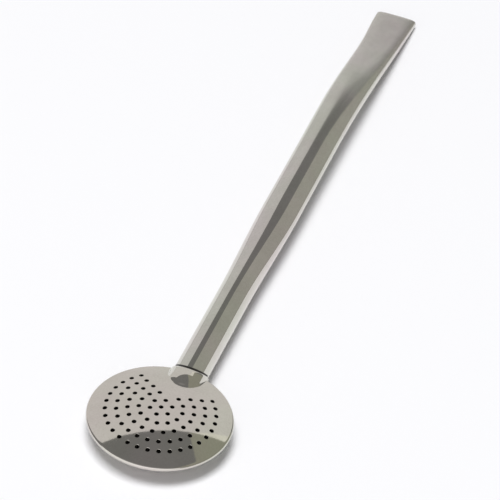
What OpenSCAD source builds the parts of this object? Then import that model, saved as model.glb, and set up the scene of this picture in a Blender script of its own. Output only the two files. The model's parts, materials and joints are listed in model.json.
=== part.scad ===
// Bombilla: a drinking straw of polished steel with a flat round strainer head.
// The head is two pressed shells with a rolled rim, and the stem is one drawn tube
// that pushes into the neck between them and is pressed flat towards the mouth.
// The part lies as it does on a table: the flat of the bowl and the lower lip of
// the mouth touch z = 0, and the stem runs along +X.

/* [Head] */
// Diameter of the head over its rolled rim
head_d = 34; // [30:0.5:40]
// Height of the front dome above the middle of the rim
dome_h = 3.4; // [2.6:0.1:4.4]
// Thickness of the sheet of both shells
sheet = 0.45; // [0.35:0.05:0.6]
// Width of the rim's lip that is folded under the flange of the bowl
lip_w = 1; // [0.6:0.1:1.6]
// Diameter of the flat on the underside of the bowl
flat_d = 16; // [12:0.5:18]
// How far that flat lies below the underside of the neck
flat_below_neck = 0.1; // [0.05:0.05:0.6]
// Gap left in the folded seam of the shells
seam_gap = 0.02; // [0.01:0.01:0.05]

/* [Strainer holes] */
// Diameter of one hole
hole_d = 0.95; // [0.6:0.05:1.3]
// Distance between the rings of holes
ring_pitch = 2.55; // [2.4:0.05:2.7]
// Distance between the holes along a ring
hole_spacing = 2.53; // [2.3:0.01:2.8]
// Rings of holes round the middle one
ring_count = 5; // [3:1:5]

/* [Neck] */
// Depth of the stem's axis below the middle of the rim, at the rim
neck_drop = 0.5; // [0:0.1:0.8]
// Sideways angle between the stem and the row of bare sheet in front of the neck
stem_yaw = 3.5; // [0:0.5:6]
// Gap between the two halves of the neck
neck_gap = 0.08; // [0.06:0.01:0.15]
// Distance of the neck's round end inside the rim
neck_depth = 4.3; // [3.5:0.1:6]
// Length of the neck past the rim, on the stem's axis
collar_len = 0.85; // [0.4:0.05:1.5]
// Lean of the neck's mouth back from square across the stem
collar_lean = 36; // [10:1:40]

/* [Stem] */
// Outer diameter of the round part of the stem
stem_d = 8.2; // [7.6:0.1:8.8]
// Wall of the stem
stem_wall = 0.5; // [0.3:0.05:0.7]
// Clearance of the stem in the neck, on the radius
stem_fit = 0.05; // [0.02:0.01:0.1]
// Gap between the stem's inner end and the neck's round end
end_gap = 0.1; // [0.05:0.05:0.5]
// Length of the stem from the rim to the mouth
stem_len = 169; // [150:1:190]
// Distance from the rim at which the stem begins to widen
oval_start = 27; // [15:1:40]
// Distance from the rim at which the oval part is reached
oval_end = 66; // [50:1:80]
// Width of the oval part
oval_w = 9.9; // [9:0.1:11]
// Height of the oval part
oval_h = 6; // [5:0.1:7]

/* [Mouth] */
// Distance from the rim at which the oval begins to turn into the flat mouth
mouth_start = 92; // [85:1:110]
// Width of the mouth
mouth_w = 11.6; // [10.6:0.1:12.4]
// Height of the mouth
mouth_h = 2.6; // [2:0.1:3.4]
// Squareness of the mouth's outline, where 2 is an ellipse
mouth_square = 3; // [2.2:0.1:4]
// Distance from the rim at which the bend towards the mouth begins
bend_start = 98; // [86:1:110]
// Length of that bend
bend_len = 40; // [20:1:50]
// Angle of that bend
bend_angle = 8; // [5:0.5:11]

/* [Hidden] */

$fn = 96;
// Facets of large circles, so that the shallow dome stays round
dome_fn = 360;
// Facets of a strainer hole
hole_fn = 24;
// Sides and lengths of the flattened part of the stem
stem_sides = 32;
stem_steps = 28;
// Overlap of a cut past the face that it opens, and of two solids that are joined
cut = 1;
lap = 0.5;
// Overlaps of the stretches of one bent sheet, along it and round its bend
seam_lap = 0.05;
bend_lap = 25;
// Size of a block that is larger than the head and the neck
block = 3 * head_d;

head_r = head_d / 2;

// Rolled rim: the front sheet folds round the flange of the bowl and swells a little at the bend
split = sheet / 2;
fold_swell = 0.01;
rim_r = 1.5 * sheet + seam_gap;
rim_c = head_r - rim_r - fold_swell;

// Front dome, tangent to the rim's round edge
dome_r = (rim_c ^ 2 + dome_h ^ 2 - rim_r ^ 2) / (2 * (dome_h - rim_r));
dome_z = dome_h - dome_r;
rim_angle = asin(rim_c / (dome_r - rim_r));
// Where the dome stops and where the rim's bend starts, which overlap in the sheet
dome_angle = rim_angle - atan(seam_lap / dome_r);
bend_from = rim_angle - bend_lap;

// Neck round the stem
bore_r = stem_d / 2 + stem_fit;
neck_r = bore_r + sheet;

// Bowl: a flat floor and a round wall that rises to the flange
bowl_depth = neck_drop + neck_r + flat_below_neck;
flat_r = flat_d / 2;
bowl_r = rim_c - lip_w - seam_gap;
bowl_rise = bowl_depth - split;
wall_r = ((bowl_r - flat_r) ^ 2 + bowl_rise ^ 2) / (2 * bowl_rise);
wall_z = wall_r - bowl_depth;

// Steps at the start of the stem's flattened part, which keep its facets clear of the round faces
facet_gap = 0.01;
facet_step = stem_d / 2 * (1 / cos(180 / stem_sides) - 1) + facet_gap;

// Bend towards the mouth, and the stem's rise that puts its lower lip on the table
bend_end = bend_start + bend_len;
bend_r = bend_len * 180 / (PI * bend_angle);
tip_len = stem_len - bend_end;
spine_x = bend_start + bend_r * sin(bend_angle) + tip_len * cos(bend_angle);
spine_z = bend_r * (1 - cos(bend_angle)) + tip_len * sin(bend_angle);
spine_reach = norm([spine_x, spine_z]);
function rise_for(lean) =
    atan2(spine_z, spine_x) + asin((mouth_h / 2 * cos(lean) - bowl_depth + neck_drop) / spine_reach);
stem_rise = rise_for(bend_angle - rise_for(bend_angle));

// Place of the neck and the head, with the origin under the middle of the whole part
lip_back = mouth_h / 2 * sin(bend_angle - stem_rise);
stem_reach = spine_reach * cos(atan2(spine_z, spine_x) - stem_rise) + lip_back;
neck_x = head_r * cos(stem_yaw);
neck_y = -head_r * sin(stem_yaw);
head_x = (head_r - neck_x - stem_reach) / 2;

// Middle of the head at the height of the rim, turned as the head is
module at_head() {
    translate([head_x, 0, bowl_depth])
        rotate(-stem_yaw)
            children();
}

// Where the stem's axis crosses the rim, with +X along the stem
module at_neck() {
    translate([head_x + neck_x, neck_y, bowl_depth - neck_drop])
        rotate([0, -stem_rise, 0])
            children();
}

// Everything above or below the plane in which the two shells meet
module half_space(up, gap = 0) {
    translate([-block, -block, bowl_depth + split + (up ? gap : gap - 2 * block)])
        cube(2 * block);
}

// Round-ended bar on the stem's axis
module neck_bar(r) {
    at_neck()
        translate([-neck_depth, 0, 0])
            rotate([0, 90, 0])
                rotate_extrude() {
                    intersection() {
                        circle(r);
                        translate([0, -r])
                            square(r);
                    }
                    square([r, neck_depth + head_r]);
                }
}

// The same thing above the plane in which the shells meet, or its reflection below that plane
module on_side(up) {
    if (up)
        children();
    else
        translate([0, 0, 2 * (bowl_depth + split)])
            mirror([0, 0, 1])
                children();
}

// One half of the neck, with its mouth leaning back from where the halves meet
module neck_half(up) {
    intersection() {
        neck_bar(neck_r);
        half_space(up, up ? neck_gap : 0);
        on_side(up)
            at_neck()
                translate([collar_len, 0, 0])
                    rotate([0, -collar_lean, 0])
                        translate([-block, -block / 2, -block / 2])
                            cube(block);
    }
}

// Section of the front shell: dome, rolled edge and folded lip
module front_section() {
    intersection() {
        translate([0, dome_z])
            difference() {
                circle(dome_r, $fn = dome_fn);
                circle(dome_r - sheet, $fn = dome_fn);
            }
        polygon([
            [0, dome_z],
            [0, dome_z + 2 * dome_r],
            [2 * dome_r * sin(dome_angle), dome_z + 2 * dome_r * cos(dome_angle)]
        ]);
    }
    translate([rim_c, 0])
        intersection() {
            difference() {
                circle(rim_r + fold_swell);
                circle(rim_r - sheet);
            }
            polygon(2 * rim_r * [[0, 0], [0, -1], [1, -1], [1, 1], [sin(bend_from), cos(bend_from)]]);
        }
    translate([rim_c - lip_w, -rim_r])
        square([lip_w + seam_lap, sheet]);
}

// Section of the space inside the dome's sphere
module dome_space_section() {
    translate([0, dome_z])
        intersection() {
            circle(dome_r - sheet, $fn = dome_fn);
            translate([0, -dome_r])
                square([dome_r, 2 * dome_r]);
        }
}

// Section of the back shell: floor, wall and flange
module back_section() {
    translate([0, -bowl_depth])
        square([flat_r, sheet]);
    intersection() {
        translate([flat_r, wall_z])
            difference() {
                circle(wall_r);
                circle(wall_r - sheet);
            }
        translate([flat_r, -bowl_depth])
            square([head_r, bowl_depth + split]);
    }
    translate([bowl_r - split / 2, -split])
        square([rim_c - seam_gap - bowl_r + split / 2, sheet]);
}

// Section of the space inside the bowl
module bowl_space_section() {
    translate([0, sheet - bowl_depth])
        square([flat_r, bowl_depth]);
    intersection() {
        translate([flat_r, wall_z])
            circle(wall_r - sheet);
        translate([flat_r, -bowl_depth])
            square([head_r, bowl_depth + sheet]);
    }
}

// One hole square through the dome, at a distance and a direction from its middle
module strainer_hole(r, azimuth) {
    translate([0, 0, dome_z])
        rotate([0, asin(r / dome_r), azimuth])
            translate([0, 0, dome_r - sheet - cut])
                cylinder(d = hole_d, h = sheet + 2 * cut, $fn = hole_fn);
}

// Rings of holes, with a wedge left bare in front of the neck
module strainer_holes() {
    strainer_hole(0, 0);
    for (ring = [1:ring_count]) {
        r = ring * ring_pitch;
        count = round(2 * PI * r / hole_spacing);
        for (i = [0:count - 1])
            if (min(i, count - i) >= ring - 1)
                strainer_hole(r, 360 * i / count);
    }
}

// Perforated dome with the upper half of the neck
module front_shell() {
    color("silver")
        difference() {
            union() {
                at_head()
                    rotate_extrude()
                        front_section();
                difference() {
                    neck_half(true);
                    at_head()
                        rotate_extrude()
                            dome_space_section();
                }
            }
            neck_bar(bore_r);
            intersection() {
                neck_bar(neck_r + seam_gap);
                half_space(false, neck_gap);
            }
            at_head()
                strainer_holes();
        }
}

// Plain bowl with the lower half of the neck
module back_shell() {
    color("silver")
        difference() {
            union() {
                at_head()
                    rotate_extrude()
                        back_section();
                difference() {
                    neck_half(false);
                    at_head()
                        rotate_extrude()
                            bowl_space_section();
                }
            }
            neck_bar(bore_r);
        }
}

// Smooth step from 0 at a to 1 at b
function ease(x, a, b) = let (t = max(0, min(1, (x - a) / (b - a)))) t * t * (3 - 2 * t);

function blend(a, b, t) = a + (b - a) * t;

// Width, height and squareness of the stem's outline at a distance from the rim
function outline_at(s) =
    let (oval = ease(s, oval_start, oval_end), flat = ease(s, mouth_start, stem_len))
    blend(
        blend([stem_d, stem_d, 2], [oval_w, oval_h, 2], oval),
        [mouth_w, mouth_h, mouth_square],
        flat
    );

// Share of the round outline that is left at a distance from the rim
function round_share(s) = 1 - ease(s, oval_start, oval_end);

// Turn of the stem's spine, and its place, at a distance from the rim
function turn_at(s) = bend_angle * max(0, min(1, (s - bend_start) / bend_len));

function spine_at(s) =
    let (turn = turn_at(s), tail = max(0, s - bend_end))
    [
        min(s, bend_start) + bend_r * sin(turn) + tail * cos(bend_angle),
        0,
        -bend_r * (1 - cos(turn)) - tail * sin(bend_angle)
    ];

function rounded(v, n) = sign(v) * pow(abs(v), 2 / n);

// One outline of the stem, drawn in from its outer face
function ring_at(s, inset) =
    let (size = outline_at(s), turn = turn_at(s), spine = spine_at(s))
    [
        for (i = [0:stem_sides - 1])
            let (
                angle = 360 * i / stem_sides,
                y = (size[0] / 2 - inset) * rounded(cos(angle), size[2]),
                z = (size[1] / 2 - inset) * rounded(sin(angle), size[2])
            )
            spine + [z * sin(turn), y, z * cos(turn)]
    ];

// Triangles of a band between two rings that start at points a and b
function band(a, b) = [
    for (i = [0:stem_sides - 1])
        let (j = (i + 1) % stem_sides)
        each [[a + i, a + j, b + j], [a + i, b + j, b + i]]
];

// Flattened part of the stem, open at both ends
module flattened_tube() {
    stations = [for (k = [0:stem_steps]) blend(oval_start, stem_len, k / stem_steps)];
    inner = (stem_steps + 1) * stem_sides;
    last = stem_steps * stem_sides;
    outside = [for (s = stations) each ring_at(s, -facet_step * round_share(s))];
    inside = [for (s = stations) each ring_at(s, stem_wall + facet_gap * round_share(s))];
    polyhedron(
        concat(outside, inside),
        concat(
            [for (k = [0:stem_steps - 1]) each band((k + 1) * stem_sides, k * stem_sides)],
            [for (k = [0:stem_steps - 1]) each band(inner + k * stem_sides, inner + (k + 1) * stem_sides)],
            band(0, inner),
            band(inner + last, last)
        )
    );
}

// Drawn tube: a round end in the neck, an oval middle and a flat mouth
module stem_tube() {
    color("gainsboro")
        at_neck() {
            rotate([0, 90, 0])
                translate([0, 0, end_gap - neck_depth])
                    difference() {
                        cylinder(d = stem_d, h = oval_start + neck_depth - end_gap + lap);
                        translate([0, 0, -cut])
                            cylinder(d = stem_d - 2 * stem_wall, h = oval_start + neck_depth + 2 * cut);
                    }
            flattened_tube();
        }
}

front_shell();
back_shell();
stem_tube();
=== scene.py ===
"""Looks of a bombilla, a steel drinking straw with a round strainer head.

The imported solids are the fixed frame. The two pressed shells of the head and the drawn stem
are rebuilt here as smooth sheets of polished steel, in the places that the frame gives, and
a node tree cuts the holes of the strainer. Sizes are in millimetres and degrees.
"""

from __future__ import annotations

import json
import logging
import math
from abc import ABC, abstractmethod
from collections.abc import Callable
from dataclasses import dataclass
from enum import Enum

import bmesh
import bpy
import numpy as np
from mathutils import Matrix, Vector

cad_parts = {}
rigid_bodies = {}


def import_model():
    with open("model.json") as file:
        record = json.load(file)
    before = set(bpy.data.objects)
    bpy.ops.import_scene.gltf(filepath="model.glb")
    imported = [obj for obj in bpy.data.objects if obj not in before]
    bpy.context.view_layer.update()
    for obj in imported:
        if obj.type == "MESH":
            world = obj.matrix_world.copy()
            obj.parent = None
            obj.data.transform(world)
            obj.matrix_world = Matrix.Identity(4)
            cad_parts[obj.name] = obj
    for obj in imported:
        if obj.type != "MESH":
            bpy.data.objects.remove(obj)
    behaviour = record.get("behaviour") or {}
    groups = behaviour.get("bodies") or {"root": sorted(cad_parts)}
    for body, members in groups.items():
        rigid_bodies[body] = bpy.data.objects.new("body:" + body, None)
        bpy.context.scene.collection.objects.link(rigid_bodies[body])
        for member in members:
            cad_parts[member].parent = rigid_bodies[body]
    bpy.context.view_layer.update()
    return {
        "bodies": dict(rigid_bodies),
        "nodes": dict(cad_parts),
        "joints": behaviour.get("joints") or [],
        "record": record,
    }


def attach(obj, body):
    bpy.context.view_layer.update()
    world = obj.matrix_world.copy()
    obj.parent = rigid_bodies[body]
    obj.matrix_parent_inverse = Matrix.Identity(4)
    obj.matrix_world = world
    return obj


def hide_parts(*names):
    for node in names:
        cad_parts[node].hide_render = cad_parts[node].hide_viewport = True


LOG = logging.getLogger("bombilla")
MM = 0.001
# Edges that bend by more than this stay sharp.
SHARP_EDGE = 40.0
# Watts for each square metre of a flat lamp that looks as bright as a room of strength 1.
WATTS_PER_LEVEL = 4.0

Colour = tuple[float, float, float]
Face = tuple[int, ...]
Ramp = tuple[float, float, float]
Feed = bpy.types.NodeSocket | float


class Side(Enum):
    """Which of the two pressed shells a sheet is: the one above the seam or the one below."""

    FRONT = 1
    BACK = -1

    @property
    def turn(self) -> np.ndarray:
        """Factors that turn places over with the shell."""
        return np.array([1.0, 1.0, self.value])


class MixKind(Enum):
    """What a Mix node mixes: its data type, its two inputs' numbers and its output's number."""

    VALUE = ("FLOAT", 2, 3, 0)
    COLOUR = ("RGBA", 6, 7, 2)


def smooth_step(x: np.ndarray, low: float, high: float) -> np.ndarray:
    """Smooth rise from 0 at low to 1 at high."""
    t = np.clip((x - low) / (high - low), 0.0, 1.0)
    return t * t * (3.0 - 2.0 * t)


def smooth_union(a: np.ndarray, b: np.ndarray, reach: np.ndarray) -> np.ndarray:
    """Distance to two joined solids with a fillet of about the given reach."""
    share = np.clip(0.5 + 0.5 * (b - a) / reach, 0.0, 1.0)
    return b + (a - b) * share - reach * share * (1.0 - share)


def unit(v: np.ndarray) -> np.ndarray:
    """Vectors of length 1 along the last axis."""
    return v / np.linalg.norm(v, axis=-1, keepdims=True)


@dataclass(frozen=True)
class Layout:
    """Places that the frame gives: the head's middle on the table and the stem's axis."""

    head: np.ndarray
    axis: np.ndarray

    @classmethod
    def of(cls, frame: dict) -> Layout:
        """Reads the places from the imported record.


        Returns:
            The layout in millimetres.
        """
        mount = frame["record"]["mounts"][0]["pos_m"]
        axis = frame["joints"][0]["axis"]
        return cls(np.array(mount) / MM, unit(np.array(axis)))

    @property
    def out(self) -> np.ndarray:
        """Direction square to the stem's axis, upward."""
        return np.array([-self.axis[2], 0.0, self.axis[0]])


@dataclass(frozen=True)
class HeadSizes:
    """Sizes that both shells of the head share."""

    radius: float = 17.0
    dome: float = 3.4
    sheet: float = 0.45
    seam: float = 0.02
    swell: float = 0.01
    lip: float = 1.0
    flat: float = 8.0
    below_neck: float = 0.1
    yaw: float = 3.5
    neck_drop: float = 0.5
    neck_depth: float = 4.3
    neck_gap: float = 0.08
    bore: float = 4.15
    collar: float = 0.85
    collar_lean: float = 36.0
    fillet: float = 0.35
    fillet_least: float = 0.02
    fillet_low: float = 0.2
    fillet_high: float = 1.4
    edge_bulge: float = 0.12
    lip_length: float = 0.85
    lip_depth: float = 0.3

    @property
    def split(self) -> float:
        """Height of the plane in which the shells meet, above the middle of the rim."""
        return self.sheet / 2

    @property
    def roll(self) -> float:
        """Radius of the rolled rim."""
        return 1.5 * self.sheet + self.seam + self.swell

    @property
    def roll_middle(self) -> float:
        """Distance of the roll's middle from the head's axis."""
        return self.radius - self.roll

    @property
    def neck(self) -> float:
        """Outer radius of the neck."""
        return self.bore + self.sheet

    @property
    def neck_seam(self) -> float:
        """Height of the plane in which the shells meet, above the neck's axis."""
        return self.split + self.neck_drop

    @property
    def neck_place(self) -> np.ndarray:
        """Place of the neck's axis at the rim, from the middle of the rim."""
        yaw = math.radians(self.yaw)
        return np.array([self.radius * math.cos(yaw), -self.radius * math.sin(yaw), -self.neck_drop])

    @property
    def depth(self) -> float:
        """Height of the middle of the rim above the table."""
        return self.neck_drop + self.neck + self.below_neck

    def middle(self, layout: Layout) -> np.ndarray:
        """Middle of the rim, in its place."""
        return layout.head + [0.0, 0.0, self.depth]


class Profile(ABC):
    """Outer face of a shell round the head's axis, with its heights measured out of the head."""

    inner_radius: float = 6.8
    first_radius: float = 0.2
    crown_rows: int = 15

    def __init__(self, sizes: HeadSizes) -> None:
        """Keeps the sizes that the profile is drawn from."""
        self.sizes = sizes

    @abstractmethod
    def distance(self, r: np.ndarray, z: np.ndarray) -> np.ndarray:
        """Signed distance from the face to points at radius r and height z."""

    @abstractmethod
    def cap_radii(self) -> np.ndarray:
        """Radii of the rows that lie inside the rim, from those of the crown outward."""

    @abstractmethod
    def rim_rows(self) -> np.ndarray:
        """Rows past the rim as radius, height, and the two parts of the normal."""

    def crown_radii(self) -> np.ndarray:
        """Radii of the rows in the middle, which are plain circles."""
        return np.linspace(self.first_radius, self.inner_radius, self.crown_rows)[:-1]


class DomeProfile(Profile):
    """Shallow dome that runs into a rolled rim and a folded lip."""

    dome_rows: int = 66
    roll_rows: int = 9
    fold_rows: int = 15
    lip_rows: int = 5

    @property
    def dome_radius(self) -> float:
        """Radius of the sphere that touches the rim's roll."""
        s = self.sizes
        return (s.roll_middle**2 + s.dome**2 - s.roll**2) / (2.0 * (s.dome - s.roll))

    @property
    def dome_middle(self) -> float:
        """Height of that sphere's middle."""
        return self.sizes.dome - self.dome_radius

    @property
    def rim_angle(self) -> float:
        """Angle from the head's axis at which the sphere meets the roll, in radians."""
        return math.asin(self.sizes.roll_middle / (self.dome_radius - self.sizes.roll))

    @property
    def split_angle(self) -> float:
        """Angle round the roll at which the shells meet, in radians."""
        return math.asin(self.sizes.split / self.sizes.roll)

    def distance(self, r: np.ndarray, z: np.ndarray) -> np.ndarray:
        """Signed distance from the dome or the roll, whichever lies that way.

        Args:
            r: distances of the points from the head's axis.
            z: heights of the points.

        Returns:
            The distances, which are negative inside.
        """
        sphere = np.hypot(r, z - self.dome_middle) - self.dome_radius
        roll = np.hypot(r - self.sizes.roll_middle, z) - self.sizes.roll
        return np.where(np.arctan2(r, z - self.dome_middle) < self.rim_angle, sphere, roll)

    def cap_radii(self) -> np.ndarray:
        """Rows over the dome and the upper part of the roll.

        Returns:
            Their radii.
        """
        s = self.sizes
        tangent = s.roll_middle + s.roll * math.sin(self.rim_angle)
        over_dome = np.linspace(self.inner_radius, tangent, self.dome_rows)
        angles = np.linspace(math.pi / 2 - self.rim_angle, self.split_angle, self.roll_rows)[1:]
        return np.concatenate([self.crown_radii(), over_dome, s.roll_middle + s.roll * np.cos(angles)])

    def rim_rows(self) -> np.ndarray:
        """Rows round the lower part of the roll and along the lip.

        Returns:
            The radius, the height and the two parts of the normal of each row.
        """
        s = self.sizes
        angles = np.linspace(self.split_angle, -math.pi / 2, self.fold_rows)[1:]
        roll = np.c_[
            s.roll_middle + s.roll * np.cos(angles),
            s.roll * np.sin(angles),
            np.cos(angles),
            np.sin(angles),
        ]
        along = np.linspace(0.0, s.lip, self.lip_rows)[1:]
        lip = np.array([[s.roll_middle - a, -s.roll, 0.0, -1.0] for a in along])
        return np.concatenate([roll, lip])


class BowlProfile(Profile):
    """Flat floor and round wall that runs into a flange."""

    floor_rows: int = 9
    wall_rows: int = 60
    flange_rows: int = 5

    @property
    def wall_end(self) -> float:
        """Radius at which the wall meets the flange."""
        return self.sizes.roll_middle - self.sizes.lip - self.sizes.seam

    @property
    def wall(self) -> float:
        """Radius of the round wall."""
        rise = self.sizes.depth - self.sizes.split
        return ((self.wall_end - self.sizes.flat) ** 2 + rise**2) / (2.0 * rise)

    def distance(self, r: np.ndarray, z: np.ndarray) -> np.ndarray:
        """Signed distance from the floor or the wall, whichever lies that way.

        Args:
            r: distances of the points from the head's axis.
            z: heights of the points.

        Returns:
            The distances, which are negative inside.
        """
        s = self.sizes
        wall = np.hypot(r - s.flat, z - s.depth + self.wall) - self.wall
        return np.where(r < s.flat, z - s.depth, wall)

    def cap_radii(self) -> np.ndarray:
        """Rows over the floor and the wall.

        Returns:
            Their radii.
        """
        middle = self.sizes.depth - self.wall
        end = math.asin((self.sizes.split - middle) / self.wall)
        over_floor = np.linspace(self.inner_radius, self.sizes.flat, self.floor_rows)
        angles = np.linspace(math.pi / 2, end, self.wall_rows)[1:]
        wall = self.sizes.flat + self.wall * np.cos(angles)
        return np.concatenate([self.crown_radii(), over_floor, wall])

    def rim_rows(self) -> np.ndarray:
        """Rows along the flange, which lies inside the fold of the rim.

        Returns:
            The radius, the height and the two parts of the normal of each row.
        """
        s = self.sizes
        radii = np.linspace(self.wall_end, s.roll_middle - 2.0 * s.seam, self.flange_rows)[1:]
        return np.array([[r, s.split, 0.0, 1.0] for r in radii])


@dataclass
class PressedShell:
    """One pressed sheet of the head, built as a closed mesh that follows a profile and the neck.

    The sheet is worked out with its heights measured out of the head, so the back shell is
    drawn as if it were turned over, and its heights change sign at the end.
    """

    sizes: HeadSizes
    layout: Layout
    side: Side
    profile: Profile
    neck_columns: int = 64
    round_columns: int = 232
    crowding: float = 0.8
    collar_rows: int = 10
    skirt_columns: int = 4
    steepest: float = 85.0
    edge_loops: int = 5
    ceiling: float = 12.0
    halvings: int = 44
    slope_step: float = 1e-4

    def __post_init__(self) -> None:
        """Works out the neck's place and the angle at which its edge lies."""
        s = self.sizes
        self.middle = s.neck_place * self.side.turn
        self.along = self.layout.axis * self.side.turn
        self.out = np.array([-self.along[2], 0.0, self.along[0]])
        edge = s.neck_seam + s.neck_gap if self.side is Side.FRONT else -s.neck_seam
        self.edge_angle = math.degrees(math.acos(edge / s.neck))
        self.column_angle = min(self.edge_angle, self.steepest)
        self.mouth_lift = 0.0 if self.side is Side.FRONT else 2.0 * s.neck_seam

    def distance(self, p: np.ndarray) -> np.ndarray:
        """Signed distance of points from the shell's outer face.

        Args:
            p: the points.

        Returns:
            The distances, which are negative inside.
        """
        s = self.sizes
        body = self.profile.distance(np.hypot(p[..., 0], p[..., 1]), p[..., 2])
        q = p - self.middle
        t = np.maximum(q @ self.along, -s.neck_depth)
        neck = np.linalg.norm(q - t[..., None] * self.along, axis=-1) - s.neck
        reach = s.fillet_least + s.fillet * smooth_step(p[..., 2], s.fillet_low, s.fillet_high)
        return smooth_union(body, neck, reach)

    def normals(self, p: np.ndarray) -> np.ndarray:
        """Outward normals of the outer face.

        Args:
            p: points on the face.

        Returns:
            The normal at each point.
        """
        slopes = []
        for step in self.slope_step * np.eye(3):
            slopes.append(self.distance(p + step) - self.distance(p - step))
        return unit(np.stack(slopes, axis=-1))

    def settle(self, x: np.ndarray, y: np.ndarray, low: np.ndarray) -> np.ndarray:
        """Drops points onto the outer face.

        Args:
            x: first place of each point.
            y: second place of each point.
            low: height at which each point is inside the sheet's face.

        Returns:
            The points on the face.
        """
        below = np.broadcast_to(low, x.shape).astype(float)
        above = np.full_like(below, self.ceiling)
        for _ in range(self.halvings):
            z = (below + above) / 2
            inside = self.distance(np.stack([x, y, z], axis=-1)) < 0.0
            below = np.where(inside, z, below)
            above = np.where(inside, above, z)
        return np.stack([x, y, (below + above) / 2], axis=-1)

    def mouth_x(self, angle: np.ndarray) -> np.ndarray:
        """Places along X of the neck's leaning mouth.

        Args:
            angle: angles round the neck from its crest.

        Returns:
            The place at each angle.
        """
        s = self.sizes
        height = s.neck * np.cos(np.radians(angle))
        reach = s.collar - math.tan(math.radians(s.collar_lean)) * (height + self.mouth_lift)
        return self.middle[0] + reach * self.along[0] + height * self.out[0]

    def neck_x(self, radii: np.ndarray, y: np.ndarray, angle: np.ndarray) -> np.ndarray:
        """Places along X of the rows in front of the neck and over it.

        Args:
            radii: radii of the rows at the neck's two edges.
            y: places of the columns across the neck.
            angle: angles of the columns round the neck.

        Returns:
            One row of places for each radius and then for each row of the collar.
        """
        start = np.sqrt(self.profile.inner_radius**2 - y**2)
        end = self.mouth_x(angle)
        share = []
        for edge in (0, -1):
            x = np.sqrt(radii**2 - y[edge] ** 2)
            t = (x - start[edge]) / (end[edge] - start[edge])
            share.append(np.concatenate([t, np.linspace(t[-1], 1.0, self.collar_rows + 1)[1:]]))
        across = (y - y[0]) / (y[-1] - y[0])
        t = share[0][:, None] * (1.0 - across) + share[1][:, None] * across
        return start + t * (end - start)

    def round_angles(self, radii: np.ndarray, half_width: float) -> np.ndarray:
        """Directions of the columns that lie beside the neck, closest together next to it.

        Args:
            radii: radii of the rows.
            half_width: half of the width that is left free for the neck.

        Returns:
            One row of angles in radians for each radius.
        """
        t = np.linspace(0.0, 1.0, self.round_columns + 1)
        t = t - self.crowding * np.sin(math.tau * t) / math.tau
        first = np.arcsin((self.middle[1] + half_width) / radii)
        last = np.arcsin((self.middle[1] - half_width) / radii) + math.tau
        return first[:, None] * (1.0 - t) + last[:, None] * t

    def cap_points(self, y: np.ndarray, angle: np.ndarray) -> tuple[np.ndarray, np.ndarray]:
        """Points of the cap's closed rows and of the collar's rows.

        Args:
            y: places of the neck's columns.
            angle: angles of the neck's columns.

        Returns:
            The points of the cap, and those of the collar past it.
        """
        crown = self.profile.crown_radii()
        rest = self.profile.cap_radii()[len(crown) :]
        x = self.neck_x(rest, y, angle)
        half = self.sizes.neck * math.sin(math.radians(self.column_angle))
        phi = self.round_angles(rest, half)[:, 1:-1]
        outer_x = np.concatenate([x[: len(rest)], rest[:, None] * np.cos(phi)], axis=1)
        outer_y = np.concatenate([np.tile(y, (len(rest), 1)), rest[:, None] * np.sin(phi)], axis=1)
        turn = np.arctan2(outer_y[0], outer_x[0])
        cap_x = np.concatenate([crown[:, None] * np.cos(turn), outer_x])
        cap_y = np.concatenate([crown[:, None] * np.sin(turn), outer_y])
        cap = self.settle(cap_x, cap_y, np.array(0.0))
        collar_x = x[len(rest) :]
        slope = self.along[2] / self.along[0]
        low = self.middle[2] + (collar_x - self.middle[0]) * slope
        collar = self.settle(collar_x, np.tile(y, (len(collar_x), 1)), np.maximum(low, 0.0))
        return cap, collar

    def skirt(self, edge: np.ndarray, sign: int) -> tuple[np.ndarray, np.ndarray]:
        """Columns that carry the collar's side on below its widest place.

        Args:
            edge: points of the collar's edge column, from the notch to the mouth.
            sign: side of the neck, 1 or -1.

        Returns:
            The points of the columns and their normals.
        """
        s = self.sizes
        turns = np.linspace(self.column_angle, self.edge_angle, self.skirt_columns + 1)[1:]
        share = np.linspace(0.0, 1.0, len(edge))
        points = []
        normals = []
        for turn in turns:
            a = math.radians(turn)
            x = edge[0, 0] + share * (self.mouth_x(np.array(turn)) - edge[0, 0])
            n = math.cos(a) * self.out + sign * math.sin(a) * np.array([0.0, 1.0, 0.0])
            run = (x - self.middle[0] - s.neck * n[0]) / self.along[0]
            points.append(self.middle + run[:, None] * self.along + s.neck * n)
            normals.append(np.tile(n, (len(edge), 1)))
        return np.stack(points, axis=1), np.stack(normals, axis=1)

    def lip_sink(self, collar: np.ndarray, angle: np.ndarray) -> np.ndarray:
        """How far the collar lies below the neck's face, where its mouth is rounded off.

        Args:
            collar: points of the collar's rows.
            angle: angles of the columns round the neck.

        Returns:
            The depth at each point.
        """
        s = self.sizes
        left = np.clip(1.0 - (self.mouth_x(angle) - collar[..., 0]) / s.lip_length, 0.0, 1.0)
        return s.lip_depth * (1.0 - np.sqrt(1.0 - left**2))

    def rim_points(self) -> tuple[np.ndarray, np.ndarray]:
        """Rows past the rim, which stop at the neck's sides.

        Returns:
            The points of the rows and their normals.
        """
        rows = self.profile.rim_rows()
        half = self.sizes.neck + 2.0 * self.sizes.seam
        phi = self.round_angles(rows[:, 0], half)
        cos, sin = np.cos(phi), np.sin(phi)
        r, z, nr, nz = (rows[:, k][:, None] for k in range(4))
        points = np.stack([r * cos, r * sin, z + 0.0 * phi], axis=-1)
        normals = np.stack([nr * cos, nr * sin, nz + 0.0 * phi], axis=-1)
        return points, normals

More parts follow.
